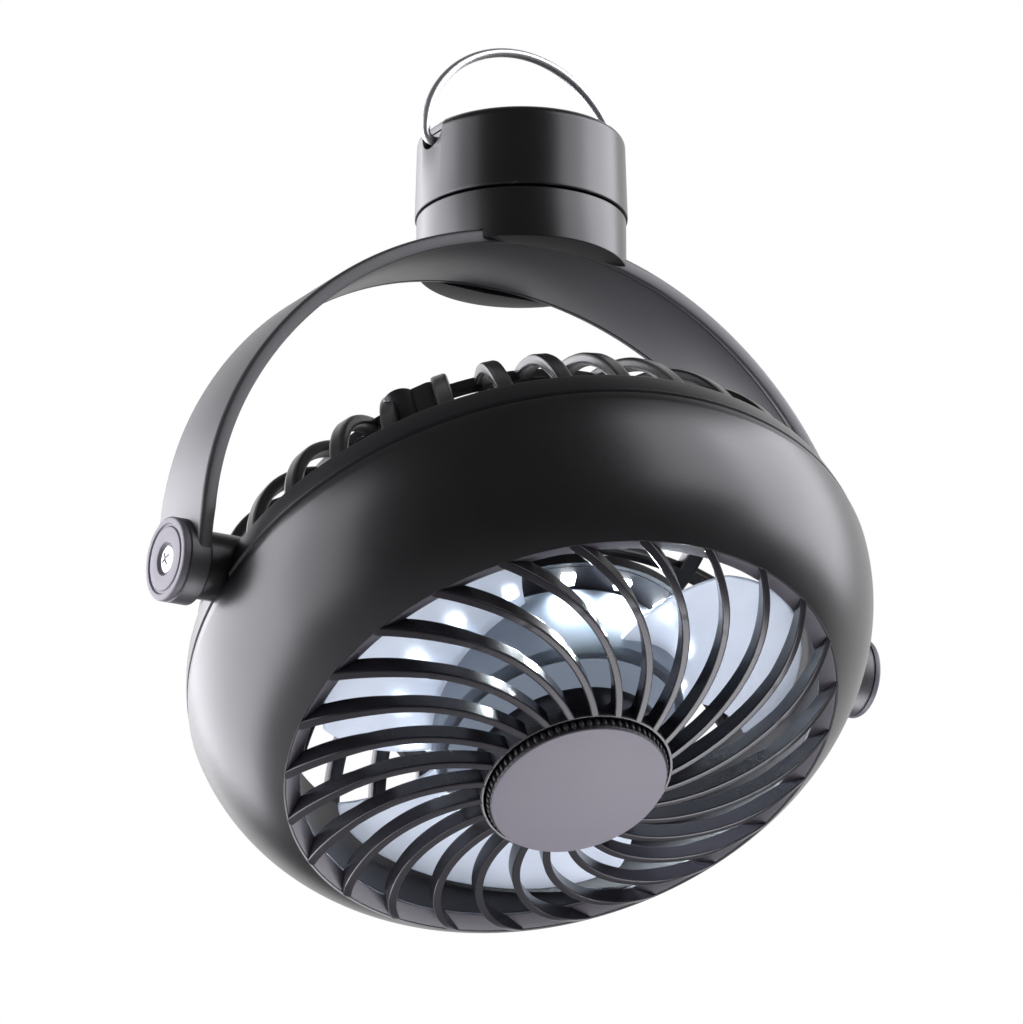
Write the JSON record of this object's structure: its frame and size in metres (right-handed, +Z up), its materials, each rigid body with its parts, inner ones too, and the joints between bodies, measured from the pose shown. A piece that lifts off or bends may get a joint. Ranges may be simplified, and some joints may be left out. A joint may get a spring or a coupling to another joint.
{
  "type": "portable hanging fan",
  "caption": "Small round fan with a spiral grille and LED ring, tilting in a strap yoke under a round battery base that hangs from a wire bail.",
  "frame": {"origin": "inside top of the wire bail, where a hook carries the fan", "axes": "+Z up along the base's axis, +X along the tilt and bail pivots, -Y the side that the fan's face turns to"},
  "size_m": [0.214, 0.1722, 0.2385],
  "materials": {
    "charcoal": "fine satin texture",
    "black_plastic": "satin",
    "chrome_wire": "polished",
    "steel": "plain",
    "foot_rubber": "matt",
    "washer": "matt",
    "cell": "matt wrap",
    "circuit": "satin",
    "lead": "satin",
    "dial_grey": "fine satin",
    "cap_grey": "fine satin",
    "motor_metal": "plain",
    "light_board": "satin",
    "led": "lit",
    "blade": "frosted clear"
  },
  "bodies": {
    "base": {"base_cap": "charcoal", "base_floor": "black_plastic", "base_screws": "steel", "foot_pad": "foot_rubber", "battery_cells": "cell", "battery_tray": "black_plastic", "charge_board": "circuit", "charge_port": "steel"},
    "bail": {"bail": "chrome_wire"},
    "yoke": {"collar": "charcoal", "swivel_ring": "steel", "yoke_strap": "charcoal", "yoke_cover": "charcoal", "crown_screws": "steel", "yoke_lead": "lead", "trunnions": "black_plastic", "tilt_washers": "washer", "trunnion_nuts": "steel", "tilt_caps": "cap_grey", "cap_screws": "steel"},
    "head": {"front_shell": "charcoal", "grille": "charcoal", "rear_shell": "charcoal", "shell_screws": "steel", "dial_switch": "circuit", "motor_mount": "black_plastic", "mount_screws": "steel", "motor": "motor_metal", "led_board": "light_board", "leds": "led"},
    "dial": {"dial": "black_plastic", "dial_face": "dial_grey"},
    "rotor": {"fan_rotor": "blade", "motor_shaft": "steel", "rotor_clip": "steel"}
  },
  "joints": [
    {"name": "bail_swing", "type": "hinge", "parent": "base", "child": "bail", "pos_m": [0, 0, -0.0295], "axis": [1, 0, 0], "range_deg": [-90, 90]},
    {"name": "base_swivel", "type": "hinge", "parent": "base", "child": "yoke", "pos_m": [0, 0, -0.0475], "axis": [0, 0, 1], "range_deg": [-165, 165]},
    {"name": "head_tilt", "type": "hinge", "parent": "yoke", "child": "head", "pos_m": [0, 0, -0.161], "axis": [1, 0, 0], "range_deg": [-106.67, 163.33]},
    {"name": "dial_turn", "type": "hinge", "parent": "head", "child": "dial", "pos_m": [0, -0.02705, -0.21117], "axis": [0, -0.4745, -0.8802], "range_deg": [0, 270]},
    {"name": "fan_spin", "type": "hinge", "parent": "head", "child": "rotor", "pos_m": [0, -0.01424, -0.18741], "axis": [0, -0.4745, -0.8802], "continuous": true}
  ]
}
